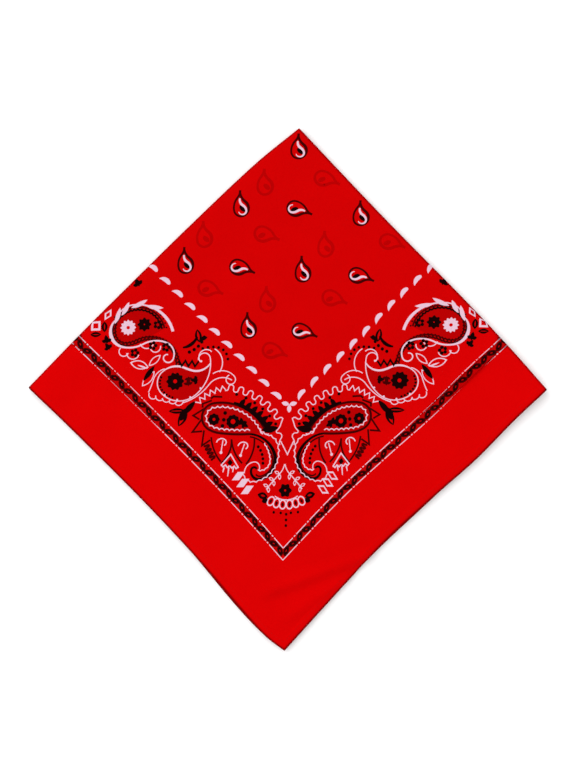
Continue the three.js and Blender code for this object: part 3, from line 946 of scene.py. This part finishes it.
# A hem's section: how far in from the cloth's edge, and how far above the layer's middle surface
TURNED_HEM = [
    (0.62, 0.19), (0.30, 0.13), (0.09, -0.04), (0, -0.32), (0.09, -0.60), (0.30, -0.79),
    (0.62, -0.85), (5.5, -0.85), (5.85, -0.72), (5.95, -0.5), (5.85, -0.18),
]
WHOLE_HEM = [
    (0.62, 0.2), (0.30, 0.14), (0.09, -0.04), (0, -0.32), (0.09, -0.60), (0.30, -0.79),
    (0.62, -0.85), (5.5, -0.85), (5.85, -0.72), (6, -0.4), (5.85, 0.05), (5.5, 0.2),
]
run_stations = np.concatenate([folded_stations, np.arange(ROLL, QUARTER - 1, 2), [QUARTER - 0.3]])


# A hem along one side of a layer: a grid whose short way is wrapped round the section and closed
def add_hem(target, layer, section, runs_across, faces_up):
    long, short = len(run_stations), len(section)
    grid = bmesh.ops.create_grid(target, x_segments=long - 1, y_segments=short, size=0.5)["verts"]
    run = np.array([run_stations[round((v.co.x + 0.5) * (long - 1))] for v in grid])
    turn = [round((v.co.y + 0.5) * short) % short for v in grid]
    inward = np.array([section[i][0] for i in turn])
    above = np.array([section[i][1] for i in turn]) * (1 if faces_up else -1)
    edge = QUARTER - inward
    across, down = (run, edge) if runs_across else (edge, run)
    places = layer(across, down) + upward(layer, across, down) * above[:, None]
    cloth_map = target.loops.layers.uv.get("cloth") or target.loops.layers.uv.new("cloth")
    for vertex, place, a, d in zip(grid, places * MM, across * MM, down * MM):
        vertex.co = place
        for loop in vertex.link_loops:
            loop[cloth_map].uv = (a, d)
    bmesh.ops.remove_doubles(target, verts=grid, dist=1e-7)
    loose = [e for e in target.edges if e.is_boundary]
    bmesh.ops.holes_fill(target, edges=loose, sides=short + 1)


def finish_hem(target, name, material):
    bmesh.ops.recalc_face_normals(target, faces=target.faces)
    for face in target.faces:
        face.smooth = True
    data = bpy.data.meshes.new(name)
    target.to_mesh(data)
    target.free()
    data.materials.append(material)
    piece = new_piece(name, data)
    return piece


# The hems' red is a little darker than the panel's: painted shade for hems that lie under the top layer's
# edge and between the layers. Its mottle also brings the painted shade of the hems' outer turns and the
# folds.
SHADED_HEM_RED = (0.55, 0.0002, 0.0006)
hem_red_with_painted_shade = cotton("red_hem_cotton", SHADED_HEM_RED, 0.06, 0.85, 0.03, 0.9)

for name, runs_across in (("left_hem", True), ("right_hem", False)):
    hem_mesh = bmesh.new()
    add_hem(hem_mesh, top_layer, TURNED_HEM, runs_across, True)
    finish_hem(hem_mesh, name, hem_red_with_painted_shade)
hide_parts("hem_left")
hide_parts("hem_right")

lower_mesh = bmesh.new()
for number, faces_up in ((2, False), (3, True), (4, False)):
    for runs_across in (True, False):
        add_hem(lower_mesh, lower_layer(number), WHOLE_HEM, runs_across, faces_up)
lower_hems = finish_hem(lower_mesh, "lower_hems", hem_red_with_painted_shade)

# The stitching. One row of lockstitch in matching red thread holds each hem, about 2.5 mm to a stitch.
STITCH_LENGTH = 1.9
STITCH_PITCH = 2.5
STITCH_WIDTH = 0.3
STITCH_INWARD = 4.7

stitch_mesh = bmesh.new()
sewn = np.arange(ROLL + 1, QUARTER - STITCH_INWARD, STITCH_PITCH)
inner = np.full(len(sewn), QUARTER - STITCH_INWARD)
for across, down in ((sewn, inner), (inner, sewn)):
    places = top_layer(across, down)
    normals = upward(top_layer, across, down)
    ahead = np.roll(places, -1, axis=0) - places
    ahead[-1] = ahead[-2]
    for place, normal, run in zip(places, normals, ahead):
        long_way = Vector(run).normalized()
        up = Vector(normal)
        side = up.cross(long_way)
        centre = Vector(place) + up * (CLOTH / 2)
        ball = bmesh.ops.create_icosphere(stitch_mesh, subdivisions=1, radius=0.5)["verts"]
        for vertex in ball:
            x, y, z = vertex.co
            vertex.co = (centre + long_way * x * STITCH_LENGTH + (side * y + up * z) * STITCH_WIDTH) * MM
for face in stitch_mesh.faces:
    face.smooth = True
stitch_data = bpy.data.meshes.new("hem_stitches")
stitch_mesh.to_mesh(stitch_data)
stitch_mesh.free()
hem_stitches = new_piece("hem_stitches", stitch_data)

thread = bpy.data.materials.new("red_sewing_thread")
thread.use_nodes = True
thread_nodes, thread_links = thread.node_tree.nodes, thread.node_tree.links
thread_shader = thread_nodes["Principled BSDF"]
thread_shader.inputs["Specular IOR Level"].default_value = 0.1
thread_shader.inputs["Roughness"].default_value = 0.7
thread_place = thread_nodes.new("ShaderNodeTexCoord")
thread_tone = thread_nodes.new("ShaderNodeTexNoise")
thread_tone.inputs["Scale"].default_value = 1500
thread_ramp = thread_nodes.new("ShaderNodeValToRGB")
thread_ramp.color_ramp.elements[0].color = (0.43, 0.0005, 0.0008, 1)
thread_ramp.color_ramp.elements[1].color = (0.57, 0.0020, 0.0030, 1)
thread_links.new(thread_place.outputs["Object"], thread_tone.inputs["Vector"])
thread_links.new(thread_tone.outputs["Fac"], thread_ramp.inputs["Fac"])
thread_links.new(thread_ramp.outputs["Color"], thread_shader.inputs["Base Color"])
stitch_data.materials.append(thread)
